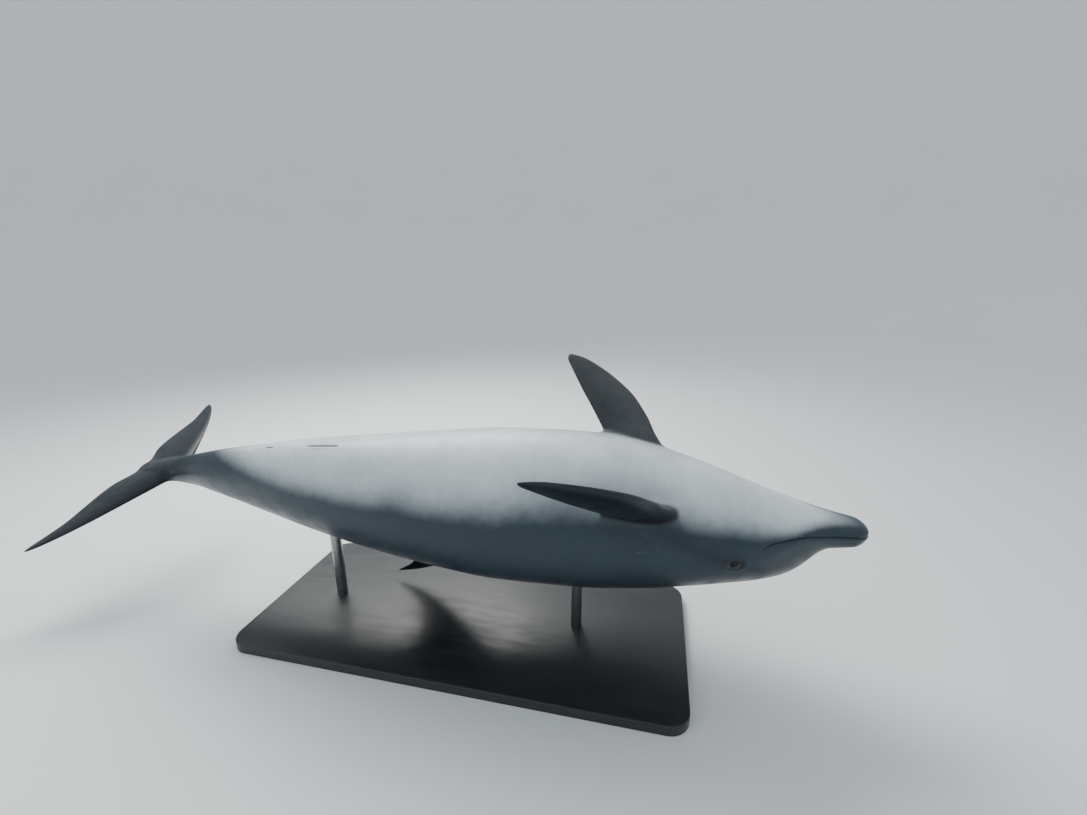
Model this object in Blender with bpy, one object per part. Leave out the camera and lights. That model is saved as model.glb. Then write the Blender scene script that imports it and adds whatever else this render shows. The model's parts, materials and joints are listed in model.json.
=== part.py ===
"""Bottlenose dolphin (Tursiops truncatus), adult, as a still life-size museum model.

The animal swims on its back: the belly faces up and the dorsal fin points down.
Two short rods on a flat base hold it under the back.
Metres, +Z up, snout toward +X, left side of the animal toward -Y.
Distances along and across the body are given as a percentage of the body length,
measured from the tip of the snout to the notch between the flukes.
"""
import math

import bmesh
import bpy
import numpy as np

for old in list(bpy.data.objects):
    bpy.data.objects.remove(old, do_unlink=True)

# ---------------------------------------------------------------- sizes
BODY_LENGTH = 2.50          # snout to fluke notch, along the spine
GAP = 0.0003                # clearance at every cut between two named parts
MID_STATION = 0.40          # the part of the spine the pose is set out from
MID_HEADING = 7.0           # degrees, mid-body turned from +X toward +Y
MID_PITCH = -3.6            # degrees, nose tipped toward the floor
MID_ROLL = 22.9             # degrees, belly rolled toward the left side of the animal
MID_POINT = (0.15, -0.03, 0.51)     # the spine there; the stand's underside is at the origin

# One spine bend each: from, to, arch of the back, turn to the side, twist (degrees).
TAIL_BENDS = (
    (0.40, 0.74, 9.2, 8.1, 0.3),
    (0.65, 0.95, 8.3, 1.4, 0.0),
)
HEAD_BENDS = (
    (0.08, 0.35, 2.5, 5.6, -8.0),
)

# Cross-sections of the trunk: station, back, belly, half width, level of the widest line,
# and the keel power (1 is an ellipse, more gives sharp ridges above and below).
TRUNK = (
    #  at   back  belly  half  level  keel
    (3.0,   2.2,  -2.2,  1.6,   0.6, 1.00),     # inside the beak
    (4.6,   3.9,  -2.0,  2.6,   0.8, 1.00),     # foot of the melon
    (6.0,   5.2,  -2.2,  3.6,   0.9, 1.00),     # melon front
    (8.5,   6.3,  -2.6,  4.6,   1.0, 1.00),
    (11.0,  7.1,  -3.25, 5.6,   1.0, 1.00),     # corner of the mouth
    (14.0,  7.8,  -4.1,  6.5,   0.9, 1.00),     # eye and blowhole
    (18.0,  8.7,  -5.3,  7.5,   0.8, 1.00),     # neck
    (24.0, 10.0,  -6.8,  8.5,   1.0, 1.00),     # flippers
    (31.0, 11.0,  -7.7,  9.0,   1.4, 1.00),
    (40.0, 11.5,  -7.3,  8.9,   1.8, 1.00),     # greatest girth
    (50.0, 11.2,  -6.1,  7.8,   2.0, 1.02),
    (58.0, 10.6,  -5.2,  6.6,   2.2, 1.06),     # behind the dorsal fin
    (66.0,  9.65, -4.3,  5.3,   2.2, 1.12),
    (74.0,  8.35, -3.1,  3.9,   2.1, 1.22),     # vent, start of the tail stock
    (82.0,  6.25, -2.0,  2.7,   1.8, 1.35),
    (89.0,  4.15, -0.9,  1.8,   1.5, 1.40),     # narrowest
    (94.0,  2.6,  -0.1,  1.9,   1.2, 1.20),     # between the fluke roots
    (97.0,  1.75,  0.3,  1.85,  1.0, 1.00),
    (99.0,  1.15,  0.55, 1.2,   0.85, 1.00),
    (100.0, 0.95,  0.65, 0.9,   0.8, 1.00),     # notch
)
# The jaws are their own shape, and run back under the melon.
JAWS = (
    (0.0,   1.10, -1.50, 1.50, -0.5, 0.80),
    (2.0,   1.45, -1.70, 1.85, -0.5, 0.80),     # tip of the beak
    (4.5,   1.90, -2.00, 2.40, -0.5, 0.85),     # root of the beak
    (8.0,   2.80, -2.55, 3.70, -0.5, 0.92),
    (12.0,  3.90, -3.40, 5.40, -0.2, 1.00),
    (18.0,  8.70, -5.30, 7.50,  0.8, 1.00),
)
# Where the lips meet: station and angle below the side line of the section.
LIPS = (
    (0.0,  -20.0),
    (4.0,  -20.0),
    (8.0,  -24.0),
    (10.5, -27.0),
    (12.0, -22.0),                              # corner of the mouth
)
SNOUT_ROUNDING = 1.6        # the snout closes as a half round over this length
TAIL_ROUNDING = 0.7
MELON_FOOT_TOP = 3.6        # where the melon rises from the beak on the mid line
MELON_FOOT_SIDE = 6.6       # and at the height of the mouth
MELON_RISE_TOP = 3.6        # length over which it takes over from the jaws, on the mid line
MELON_RISE_SIDE = 3.2       # and how much longer that is at the height of the mouth


def rotation(axis, degrees):
    """Rotation about local axis 0 (forward), 1 (left) or 2 (back)."""
    turn = math.radians(degrees)
    matrix = np.eye(3)
    first, second = (axis + 1) % 3, (axis + 2) % 3
    matrix[first, first] = matrix[second, second] = math.cos(turn)
    matrix[first, second] = -math.sin(turn)
    matrix[second, first] = math.sin(turn)
    return matrix


def smooth_table(rows, column, at):
    """Monotone cubic (Fritsch and Carlson) through one column of a table of stations."""
    x = np.array([row[0] for row in rows]) / 100
    y = np.array([row[column] for row in rows])
    step = np.diff(x)
    slope = np.diff(y) / step
    tangent = np.zeros(len(x))
    same_way = slope[:-1] * slope[1:] > 0
    before = 2 * step[1:] + step[:-1]
    after = step[1:] + 2 * step[:-1]
    with np.errstate(divide="ignore", invalid="ignore"):
        mean = (before + after) / (before / slope[:-1] + after / slope[1:])
    tangent[1:-1] = np.where(same_way, mean, 0.0)
    tangent[0], tangent[-1] = slope[0], slope[-1]
    at = np.clip(at, x[0], x[-1])
    i = np.clip(np.searchsorted(x, at, side="right") - 1, 0, len(x) - 2)
    t = (at - x[i]) / step[i]
    return (y[i] * (1 + 2 * t) * (1 - t) ** 2 + y[i + 1] * t * t * (3 - 2 * t)
            + step[i] * (tangent[i] * t * (1 - t) ** 2 - tangent[i + 1] * t * t * (1 - t)))


def bend_rates(bends, station):
    """Arch, turn and twist per unit of station, each bend strongest at its middle."""
    rates = np.zeros(3)
    for start, end, arch, turn, twist in bends:
        t = (station - start) / (end - start)
        if 0 < t < 1:
            rates += np.array([arch, turn, twist]) * 6 * t * (1 - t) / (end - start)
    return rates


def lay_spine(steps=400):
    """Points and frames (columns forward, left, back) of the spine, from snout to notch."""
    step = 1 / steps
    middle = round(MID_STATION * steps)
    heading = math.radians(MID_HEADING)
    forward = np.array([math.cos(heading), math.sin(heading), 0.0])
    back = np.array([0.0, 0.0, -1.0])
    frames = np.zeros((steps + 1, 3, 3))
    level = np.stack([forward, np.cross(back, forward), back], axis=1)
    frames[middle] = level @ rotation(1, MID_PITCH) @ rotation(0, MID_ROLL)
    points = np.zeros((steps + 1, 3))
    points[middle] = MID_POINT
    for way, bends, stop in ((1, TAIL_BENDS, steps), (-1, HEAD_BENDS, 0)):
        for i in range(middle, stop, way):
            arch, turn, twist = bend_rates(bends, (i + way / 2) * step) * step
            turned = rotation(1, arch) @ rotation(2, turn) @ rotation(0, twist)
            frames[i + way] = frames[i] @ turned
            mean_forward = (frames[i][:, 0] + frames[i + way][:, 0]) / 2
            points[i + way] = points[i] - way * BODY_LENGTH * step * mean_forward
    return points, frames


SPINE_POINTS, SPINE_FRAMES = lay_spine()


def spine_at(station):
    """Spine point and frame at any station, by straight interpolation."""
    place = np.clip(np.asarray(station, float), 0, 1) * (len(SPINE_POINTS) - 1)
    i = np.minimum(place.astype(int), len(SPINE_POINTS) - 2)
    t = (place - i)[..., None]
    point = SPINE_POINTS[i] * (1 - t) + SPINE_POINTS[i + 1] * t
    frame = SPINE_FRAMES[i] * (1 - t[..., None]) + SPINE_FRAMES[i + 1] * t[..., None]
    return point, frame


def section(rows, station, angle):
    """Across and up, in percent, of one table's section (angle 0 left side, 90 back)."""
    back, belly, half, level, keel = (smooth_table(rows, k, station) for k in range(1, 6))
    cosine, sine = np.cos(angle), np.sin(angle)
    across = half * np.sign(cosine) * np.abs(cosine) ** keel
    up = level + np.where(sine > 0, back - level, level - belly) * sine
    return across, up


def ease(t):
    """Smooth step from 0 to 1."""
    t = np.clip(t, 0, 1)
    return t * t * (3 - 2 * t)


def outline(station, angle):
    """Across and up, in percent, of the whole body's section: jaws, melon and trunk."""
    jaw_across, jaw_up = section(JAWS, station, angle)
    trunk_across, trunk_up = section(TRUNK, station, angle)
    side = np.clip(1 - np.sin(angle), 0, 1)
    foot = MELON_FOOT_TOP + (MELON_FOOT_SIDE - MELON_FOOT_TOP) * side ** 1.5
    rise = np.clip((station * 100 - foot) / (MELON_RISE_TOP + MELON_RISE_SIDE * side), 0, 1)
    mix = rise * (2 - rise) + (ease(rise) - rise * (2 - rise)) * side
    across = jaw_across + (trunk_across - jaw_across) * mix
    up = jaw_up + (trunk_up - jaw_up) * mix
    nose = np.clip(station * 100 / SNOUT_ROUNDING, 0, 1)
    tail = np.clip((100 - station * 100) / TAIL_ROUNDING, 0, 1)
    closing = np.sqrt(1 - (1 - nose) ** 2) * np.sqrt(1 - (1 - tail) ** 2)
    snout_level, notch_level = JAWS[0][4], TRUNK[-1][4]
    middle = np.where(station < 0.5, snout_level, notch_level)
    return across * closing, middle + (up - middle) * closing


def body_point(station, angle, proud=0.0):
    """Point of the body surface, moved out square to the section by proud metres."""
    station, angle = np.broadcast_arrays(np.asarray(station, float), np.asarray(angle, float))
    across, up = outline(station, angle)
    point, frame = spine_at(station)
    scale = BODY_LENGTH / 100
    across, up = across * scale, up * scale
    if proud:
        step = 0.02
        before, after = outline(station, angle - step), outline(station, angle + step)
        run, rise = after[0] - before[0], after[1] - before[1]
        length = np.hypot(run, rise)
        across, up = across + rise / length * proud, up - run / length * proud
    return point + frame[..., :, 1] * across[..., None] + frame[..., :, 2] * up[..., None]


# ---------------------------------------------------------------- fins
# Edges of each fin: share of the span, leading edge, trailing edge, thickness to chord.
# The edges are percent of body length ahead of the middle of the root.
FLIPPER_EDGES = (
    (0.00,  3.5, -2.9, 0.26),
    (0.15,  3.9, -2.4, 0.22),
    (0.35,  3.9, -2.4, 0.18),
    (0.60,  2.9, -2.5, 0.15),
    (0.82,  1.2, -2.5, 0.13),
    (0.94, -0.2, -2.5, 0.12),
    (1.00, -1.3, -2.4, 0.12),
)
DORSAL_EDGES = (
    (0.00,  7.4, -6.6, 0.17),
    (0.15,  5.2, -5.2, 0.15),
    (0.40,  2.2, -4.6, 0.13),
    (0.70, -1.8, -5.6, 0.11),
    (0.90, -5.4, -7.4, 0.10),
    (1.00, -8.1, -8.6, 0.10),
)
FLUKE_EDGES = (
    (0.00,  4.2, -4.1, 0.16),
    (0.12,  3.2, -5.5, 0.135),
    (0.30,  1.6, -5.9, 0.11),
    (0.60, -1.4, -5.9, 0.09),
    (0.85, -4.6, -7.0, 0.09),
    (1.00, -7.0, -8.0, 0.09),
)
# name, edges, station and section angle of the root, span in percent of body length,
# sweep back, tilt toward the back (both in degrees from straight out), feather, tip curl
FINS = {
    "flipper_left": (FLIPPER_EDGES, 25.8, -46.8, 16.0, 34.0, -54.0, 10.0, 0.6),
    "flipper_right": (FLIPPER_EDGES, 26.4, 226.8, 16.0, 25.5, -10.0, -5.0, 0.6),
    "dorsal_fin": (DORSAL_EDGES, 49.6, 90.0, 9.2, 0.0, 90.0, 0.0, 0.0),
    "fluke_left": (FLUKE_EDGES, 95.6, 0.0, 13.9, 0.0, 0.0, 0.0, -0.5),
    "fluke_right": (FLUKE_EDGES, 95.6, 180.0, 13.9, 0.0, 0.0, 0.0, -0.5),
}
FLUKE_PITCH = -4.4          # the flukes are tipped this much about the side axis
FIN_EDGE = 0.0012           # half thickness the rims keep
TIP_START = 0.93            # share of the span from which the tip is rounded off
TIP_PINCH = 0.96            # how far the rounding closes the chord at the very tip


def fin_axes(name):
    """Root point of a fin and its span, chord (toward the leading edge) and face axes."""
    edges, station, angle, span, sweep, tilt, feather, curl = FINS[name]
    point, frame = spine_at(station / 100)
    if name.startswith("fluke"):
        frame = frame @ rotation(1, FLUKE_PITCH)
    mirror = -1 if name.endswith("right") else 1
    sweep, tilt = math.radians(sweep), math.radians(tilt)
    out = frame[:, 1] * mirror * math.cos(tilt) + frame[:, 2] * math.sin(tilt)
    along = out * math.cos(sweep) - frame[:, 0] * math.sin(sweep)
    chord = frame[:, 0] - along * (frame[:, 0] @ along)
    chord = chord / np.linalg.norm(chord)
    face = np.cross(along, chord) * mirror
    turn = math.radians(feather)
    chord, face = (chord * math.cos(turn) + face * math.sin(turn),
                   face * math.cos(turn) - chord * math.sin(turn))
    root = body_point(station / 100, math.radians(angle))
    return root, along, chord, face


def fin_point(name, share, around):
    """Point of a fin: share of the span, and the angle around the section from the rim."""
    edges, span, curl = FINS[name][0], FINS[name][3], FINS[name][7]
    root, along, chord, face = fin_axes(name)
    rows = [(100 * row[0],) + row[1:] for row in edges]
    share, around = np.broadcast_arrays(np.asarray(share, float), np.asarray(around, float))
    at = np.clip(share, 0, 1)
    lead, trail, ratio = (smooth_table(rows, column, at) for column in (1, 2, 3))
    tip = np.clip((at - TIP_START) / (1 - TIP_START), 0, 1)
    middle, half = (lead + trail) / 2, (lead - trail) / 2 * np.sqrt(1 - TIP_PINCH * tip ** 2)
    lead, trail = middle + half, middle - half
    x = (1 - np.cos(around)) / 2
    foil = 5 * (0.2969 * np.sqrt(x) - 0.1260 * x - 0.3516 * x ** 2 + 0.2843 * x ** 3 - 0.1036 * x ** 4)
    scale = BODY_LENGTH / 100
    width = (lead - trail) * scale
    thick = np.sign(np.sin(around)) * (foil * ratio * width + FIN_EDGE * np.abs(np.sin(around)))
    ahead = lead * scale - x * width
    bent = curl * scale * at ** 2
    return (root + along * (share * span * scale)[..., None]
            + chord * ahead[..., None] + face * (thick + bent)[..., None])


# ---------------------------------------------------------------- solids
AROUND = 40                 # points around the trunk
UPPER_ARC, LOWER_ARC = 23, 17       # points over the head and under the jaw, lip to lip
FIN_SPANS, FIN_AROUND = 11, 20      # rings along a fin, and points around it
FIN_ROOT_SHARE, FLUKE_ROOT_SHARE = -0.22, -0.10     # how far a root runs inside the trunk
SPAN_CROWDING = 0.55        # draws the rings of a fin closer together toward its tip
BODY_ROWS = (0.15, 0.5, 1.0, 1.7, 2.6, 3.6, 4.4, 5.2, 6.0, 7.0, 8.2, 9.6, 11.0, 12.0,
             13.4, 15.0, 17.5, 20.5, 23.5, 26.5, 29.5, 33.0, 37.0, 41.0, 45.0, 49.0,
             53.0, 57.0, 61.0, 65.0, 69.0, 73.0, 77.0, 81.0, 84.5, 87.5, 90.0, 92.0,
             94.0, 95.6, 97.0, 98.2, 99.0, 99.6, 99.9)
MOUTH_CORNER = 12.0
HEAD_END = 17.5             # the cut between head and neck
NAMED_PARTS = (             # trunk parts and the stations they run between
    ("neck", HEAD_END, 23.5),
    ("chest", 23.5, 41.0),
    ("abdomen", 41.0, 73.0),
    ("tail_stock", 73.0, 100.0),
)
EYE_STATION, EYE_ANGLE = 14.2, -3.75
EYE_RADIUS = 0.016
EYE_PROUD = 0.004           # the eyeball stands this far out of the head
SKIN_DARK = (0.080, 0.095, 0.110)
SKIN_GREY = (0.190, 0.215, 0.240)
SKIN_ROUGHNESS = 0.35
EYE_COLOUR, EYE_ROUGHNESS = (0.012, 0.010, 0.009), 0.08


def loft(name, rings, front=None, rear=None):
    """Closed mesh object through equal rings of points, each end capped flat or to a point."""
    mesh = bmesh.new()
    grid = [[mesh.verts.new(point) for point in ring] for ring in rings]
    count = len(grid[0])
    for ahead, behind in zip(grid, grid[1:]):
        for i in range(count):
            j = (i + 1) % count
            mesh.faces.new((ahead[i], ahead[j], behind[j]))
            mesh.faces.new((ahead[i], behind[j], behind[i]))
    for ring, pole in ((grid[0], front), (grid[-1], rear)):
        if pole is None:
            pole = np.mean([vertex.co for vertex in ring], axis=0)
        centre = mesh.verts.new(pole)
        for i in range(count):
            j = (i + 1) % count
            corners = (ring[i], ring[j], centre)
            mesh.faces.new(corners if ring is grid[-1] else corners[::-1])
    bmesh.ops.recalc_face_normals(mesh, faces=mesh.faces)
    if mesh.calc_volume(signed=True) < 0:
        bmesh.ops.reverse_faces(mesh, faces=mesh.faces)
    data = bpy.data.meshes.new(name)
    mesh.to_mesh(data)
    mesh.free()
    part = bpy.data.objects.new(name, data)
    bpy.context.scene.collection.objects.link(part)
    return part


def paint(part, colour, roughness, metallic=0.0):
    """Own Principled material, and smooth shading."""
    material = bpy.data.materials.new(part.name + "_surface")
    material.use_nodes = True
    shader = material.node_tree.nodes["Principled BSDF"]
    shader.inputs["Base Color"].default_value = (*colour, 1.0)
    shader.inputs["Roughness"].default_value = roughness
    shader.inputs["Metallic"].default_value = metallic
    part.data.materials.append(material)
    for polygon in part.data.polygons:
        polygon.use_smooth = True


def carve(part, cutter):
    """Take the cutter away from the part, then drop the cutter."""
    modifier = part.modifiers.new("carve_" + cutter.name, "BOOLEAN")
    modifier.operation = "DIFFERENCE"
    modifier.solver = "EXACT"
    modifier.object = cutter
    graph = bpy.context.evaluated_depsgraph_get()
    cut = bpy.data.meshes.new_from_object(part.evaluated_get(graph))
    part.modifiers.clear()
    part.data = cut


def body_rows(start, end):
    """Stations of the rings between two cuts, with the cut gap taken off the rear end."""
    inside = [row for row in BODY_ROWS if start < row < end]
    last = [end - GAP / BODY_LENGTH * 100] if end < 100 else []
    first = [start] if start > 0 else []
    return np.array(first + inside + last) / 100


ANGLES = np.arange(AROUND) * math.tau / AROUND
SNOUT_TIP = body_point(0.0, 0.0)
NOTCH = body_point(1.0, 0.0)


def trunk_part(name, start, end, proud=0.0):
    """One length of the trunk between two flat cuts across the spine."""
    rows = body_rows(start, end)
    rings = body_point(rows[:, None], ANGLES[None, :], proud)
    forward = SPINE_FRAMES[:, :, 0]
    front = SNOUT_TIP + forward[0] * proud if start == 0 else None
    rear = NOTCH - forward[-1] * proud if end == 100 else None
    return loft(name, rings, front, rear)


def lip_chord(rows, share, shift):
    """Points straight across the mouth from the left lip (share 0) to the right (share 1)."""
    angle = np.radians(smooth_table(LIPS, 1, rows))
    left = body_point(rows, angle)
    right = body_point(rows, math.pi - angle)
    up = spine_at(rows)[1][..., :, 2]
    across = left[:, None] * (1 - share)[None, :, None] + right[:, None] * share[None, :, None]
    return across + up[:, None] * shift


def head_parts():
    """The head with the upper jaw, and the lower jaw hung under it along the lips."""
    jaw_rows = np.array([row for row in BODY_ROWS if row <= MOUTH_CORNER]) / 100
    lips = np.radians(smooth_table(LIPS, 1, jaw_rows))[:, None]
    over = np.linspace(0, 1, UPPER_ARC)[None, :]
    under = np.linspace(0, 1, LOWER_ARC + 2)[None, 1:-1]
    upper_arc = body_point(jaw_rows[:, None], lips + (math.pi - 2 * lips) * over)
    lower_arc = body_point(jaw_rows[:, None], math.pi - lips + (math.pi + 2 * lips) * under)
    upper_arc[:, [0, -1]] += spine_at(jaw_rows)[1][:, None, :, 2] * GAP / 2
    roof = lip_chord(jaw_rows, under[0][::-1], GAP / 2)
    floor = lip_chord(jaw_rows, over[0], -GAP / 2)
    front = np.concatenate([upper_arc, roof], axis=1)
    behind_mouth = body_rows(MOUTH_CORNER, HEAD_END)[1:]
    rear_rows = np.concatenate([[jaw_rows[-1] + GAP / BODY_LENGTH], behind_mouth])
    last_lip = lips[-1]
    ring_angles = np.concatenate([last_lip + (math.pi - 2 * last_lip) * over[0],
                                  math.pi - last_lip + (math.pi + 2 * last_lip) * under[0]])
    rear = body_point(rear_rows[:, None], ring_angles[None, :])
    tip = body_point(0.0, 0.0)
    up = spine_at(0.0)[1][:, 2]
    head = loft("head", np.concatenate([front, rear]), tip + up * GAP)
    jaw = loft("lower_jaw", np.concatenate([floor, lower_arc], axis=1), tip - up * GAP)
    return head, jaw


def ball(name, centre, radius):
    """Round ball, as an icosphere."""
    mesh = bmesh.new()
    bmesh.ops.create_icosphere(mesh, subdivisions=3, radius=radius)
    bmesh.ops.translate(mesh, verts=mesh.verts, vec=centre)
    data = bpy.data.meshes.new(name)
    mesh.to_mesh(data)
    mesh.free()
    part = bpy.data.objects.new(name, data)
    bpy.context.scene.collection.objects.link(part)
    return part


def eye_centre(mirrored):
    """Middle of an eyeball, sunk square to the head's surface."""
    station = EYE_STATION / 100
    angle = math.radians(180 - EYE_ANGLE if mirrored else EYE_ANGLE)
    step = 0.001
    rearward = body_point(station + step, angle) - body_point(station - step, angle)
    around = body_point(station, angle + step) - body_point(station, angle - step)
    outward = np.cross(rearward, around)
    outward = outward / np.linalg.norm(outward)
    return body_point(station, angle) - outward * (EYE_RADIUS - EYE_PROUD)


def fin(name):
    """Closed fin, its root run on into the trunk so that the trunk can be cut out of it."""
    around = np.arange(FIN_AROUND) * math.tau / FIN_AROUND
    inner = FLUKE_ROOT_SHARE if name.startswith("fluke") else FIN_ROOT_SHARE
    even = np.linspace(0, 1, FIN_SPANS)
    shares = np.concatenate([[inner], even * (1 + SPAN_CROWDING - SPAN_CROWDING * even)])
    return loft(name, fin_point(name, shares[:, None], around[None, :]))


head, lower_jaw = head_parts()
trunk = [trunk_part(name, start, end) for name, start, end in NAMED_PARTS]
for number, mirrored in enumerate((False, True)):
    side = "right" if mirrored else "left"
    centre = eye_centre(mirrored)
    eye = ball("eye_" + side, centre, EYE_RADIUS)
    paint(eye, EYE_COLOUR, EYE_ROUGHNESS)
    socket = ball("socket_" + side, centre, EYE_RADIUS + GAP)
    carve(head, socket)
    bpy.data.objects.remove(socket, do_unlink=True)
for part in [head, lower_jaw] + trunk:
    paint(part, SKIN_GREY, SKIN_ROUGHNESS)

whole_body = trunk_part("body_cutter", 0, 100, proud=GAP)
for name in FINS:
    part = fin(name)
    carve(part, whole_body)
    paint(part, SKIN_DARK, SKIN_ROUGHNESS)

# ---------------------------------------------------------------- stand
BASE_LENGTH, BASE_WIDTH, BASE_THICK = 1.40, 0.60, 0.030
BASE_CORNER, BASE_CORNER_STEPS = 0.060, 8
BASE_EDGE, BASE_EDGE_STEPS = 0.003, 2
ROD_RADIUS, ROD_SIDES = 0.018, 32
ROD_RUN_IN = 0.09           # a rod is made this much too long, then cut to the back's shape
ROD_STATIONS = {"stand_rod_front": 31.0, "stand_rod_rear": 66.0}
STAND_COLOUR, STAND_ROUGHNESS = (0.035, 0.036, 0.038), 0.45
STEEL_COLOUR, STEEL_ROUGHNESS = (0.55, 0.56, 0.57), 0.28


def lowest_point(station):
    """Lowest point of the trunk's section at a station, where a rod meets it."""
    ring = body_point(station / 100, np.linspace(0, math.tau, 721))
    return ring[np.argmin(ring[:, 2])]


turns = np.arange(ROD_SIDES) * math.tau / ROD_SIDES
for name, station in ROD_STATIONS.items():
    foot = lowest_point(station)
    across = foot[0] + ROD_RADIUS * np.cos(turns)
    along = foot[1] + ROD_RADIUS * np.sin(turns)
    ends = (BASE_THICK + GAP, foot[2] + ROD_RUN_IN)
    rod = loft(name, [np.column_stack([across, along, np.full(ROD_SIDES, end)]) for end in ends])
    carve(rod, whole_body)
    paint(rod, STEEL_COLOUR, STEEL_ROUGHNESS, metallic=1.0)
bpy.data.objects.remove(whole_body, do_unlink=True)

mesh = bmesh.new()
bmesh.ops.create_cube(mesh, size=1.0)
bmesh.ops.scale(mesh, verts=mesh.verts, vec=(BASE_LENGTH, BASE_WIDTH, BASE_THICK))
bmesh.ops.translate(mesh, verts=mesh.verts, vec=(0, 0, BASE_THICK / 2))
upright = [edge for edge in mesh.edges if abs(edge.verts[0].co.z - edge.verts[1].co.z) > BASE_THICK / 2]
bmesh.ops.bevel(mesh, geom=upright, offset=BASE_CORNER, segments=BASE_CORNER_STEPS,
                affect="EDGES", profile=0.5)
rim = [edge for edge in mesh.edges
       if all(abs(vertex.co.z - BASE_THICK) < 1e-6 for vertex in edge.verts)
       and len(edge.link_faces) == 2]
bmesh.ops.bevel(mesh, geom=rim, offset=BASE_EDGE, segments=BASE_EDGE_STEPS,
                affect="EDGES", profile=0.5)
data = bpy.data.meshes.new("stand_base")
mesh.to_mesh(data)
mesh.free()
base = bpy.data.objects.new("stand_base", data)
bpy.context.scene.collection.objects.link(base)
paint(base, STAND_COLOUR, STAND_ROUGHNESS)
for polygon in base.data.polygons:
    polygon.use_smooth = False
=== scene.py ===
"""Looks of the bottlenose dolphin: one skin over the solids, eyes, stand, floor and light.

Metres, +Z up, snout toward +X, the animal's left side toward -Y, belly up. Stations run
from 0 at the snout to 1 at the notch of the flukes. The tables of the body and its fins
give stations and lengths in percent of the body length, and angles in degrees.
"""
import functools
import json
import math

import bpy
import numpy as np
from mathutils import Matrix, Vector

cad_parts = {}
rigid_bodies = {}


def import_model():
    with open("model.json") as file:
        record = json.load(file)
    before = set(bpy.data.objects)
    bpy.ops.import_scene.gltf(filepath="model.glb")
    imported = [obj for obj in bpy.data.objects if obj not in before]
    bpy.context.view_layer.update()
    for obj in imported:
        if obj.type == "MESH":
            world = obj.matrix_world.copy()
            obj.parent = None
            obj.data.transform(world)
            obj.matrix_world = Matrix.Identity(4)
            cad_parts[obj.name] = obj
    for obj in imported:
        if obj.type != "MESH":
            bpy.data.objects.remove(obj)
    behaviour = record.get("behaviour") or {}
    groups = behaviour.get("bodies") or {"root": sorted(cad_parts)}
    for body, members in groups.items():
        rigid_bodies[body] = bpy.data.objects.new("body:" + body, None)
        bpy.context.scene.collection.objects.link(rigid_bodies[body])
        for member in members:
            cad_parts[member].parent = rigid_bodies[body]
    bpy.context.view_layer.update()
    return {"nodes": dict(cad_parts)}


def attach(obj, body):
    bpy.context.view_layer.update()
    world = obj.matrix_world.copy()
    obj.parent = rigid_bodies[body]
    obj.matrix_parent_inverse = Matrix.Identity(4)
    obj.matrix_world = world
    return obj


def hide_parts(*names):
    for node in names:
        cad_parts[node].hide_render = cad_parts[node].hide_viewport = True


for leftover in list(bpy.data.objects):
    bpy.data.objects.remove(leftover)
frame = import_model()

# ---------------- skin: the spine
# The animal's line of pose. A real dolphin bends mostly behind the dorsal fin; this one
# rolls on its back, with the tail arched and turned a little to the side.
BODY_LENGTH = 2.50
MID_STATION = 0.40
MID_HEADING, MID_PITCH, MID_ROLL = 7.0, -3.6, 22.9
MID_POINT = (0.15, -0.03, 0.51)
# Each bend: start and end station, then degrees of arch, of turn and of twist.
TAIL_BENDS = (
    (0.40, 0.74, 9.2, 8.1, 0.3),
    (0.65, 0.95, 8.3, 1.4, 0.0),
)
HEAD_BENDS = (
    (0.08, 0.35, 2.5, 5.6, -8.0),
)


def rotation(axis, degrees):
    """Rotation matrix about local axis 0 (forward), 1 (left) or 2 (back)."""
    turn = math.radians(degrees)
    matrix = np.eye(3)
    first, second = (axis + 1) % 3, (axis + 2) % 3
    matrix[first, first] = matrix[second, second] = math.cos(turn)
    matrix[first, second] = -math.sin(turn)
    matrix[second, first] = math.sin(turn)
    return matrix


def bend_rates(bends, station):
    """Arch, turn and twist per unit of station: a parabola over each bend's length."""
    rates = np.zeros(3)
    for start, end, arch, turn, twist in bends:
        t = (station - start) / (end - start)
        if 0 < t < 1:
            rates += np.array([arch, turn, twist]) * 6 * t * (1 - t) / (end - start)
    return rates


def lay_spine(steps=400):
    """Spine points and frames (columns forward, left, back), stepped out from the middle."""
    step = 1 / steps
    middle = round(MID_STATION * steps)
    heading = math.radians(MID_HEADING)
    forward = np.array([math.cos(heading), math.sin(heading), 0.0])
    back = np.array([0.0, 0.0, -1.0])
    frames = np.zeros((steps + 1, 3, 3))
    level = np.stack([forward, np.cross(back, forward), back], axis=1)
    frames[middle] = level @ rotation(1, MID_PITCH) @ rotation(0, MID_ROLL)
    points = np.zeros((steps + 1, 3))
    points[middle] = MID_POINT
    for way, bends, stop in ((1, TAIL_BENDS, steps), (-1, HEAD_BENDS, 0)):
        for i in range(middle, stop, way):
            arch, turn, twist = bend_rates(bends, (i + way / 2) * step) * step
            turned = rotation(1, arch) @ rotation(2, turn) @ rotation(0, twist)
            frames[i + way] = frames[i] @ turned
            mean_forward = (frames[i][:, 0] + frames[i + way][:, 0]) / 2
            points[i + way] = points[i] - way * BODY_LENGTH * step * mean_forward
    return points, frames


SPINE_POINTS, SPINE_FRAMES = lay_spine()


def spine_at(station):
    """Spine point and frame at any station, straight between the stepped ones."""
    place = np.clip(np.asarray(station, float), 0, 1) * (len(SPINE_POINTS) - 1)
    i = np.minimum(place.astype(int), len(SPINE_POINTS) - 2)
    t = (place - i)[..., None]
    point = SPINE_POINTS[i] * (1 - t) + SPINE_POINTS[i + 1] * t
    frame_there = SPINE_FRAMES[i] * (1 - t[..., None]) + SPINE_FRAMES[i + 1] * t[..., None]
    return point, frame_there


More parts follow.
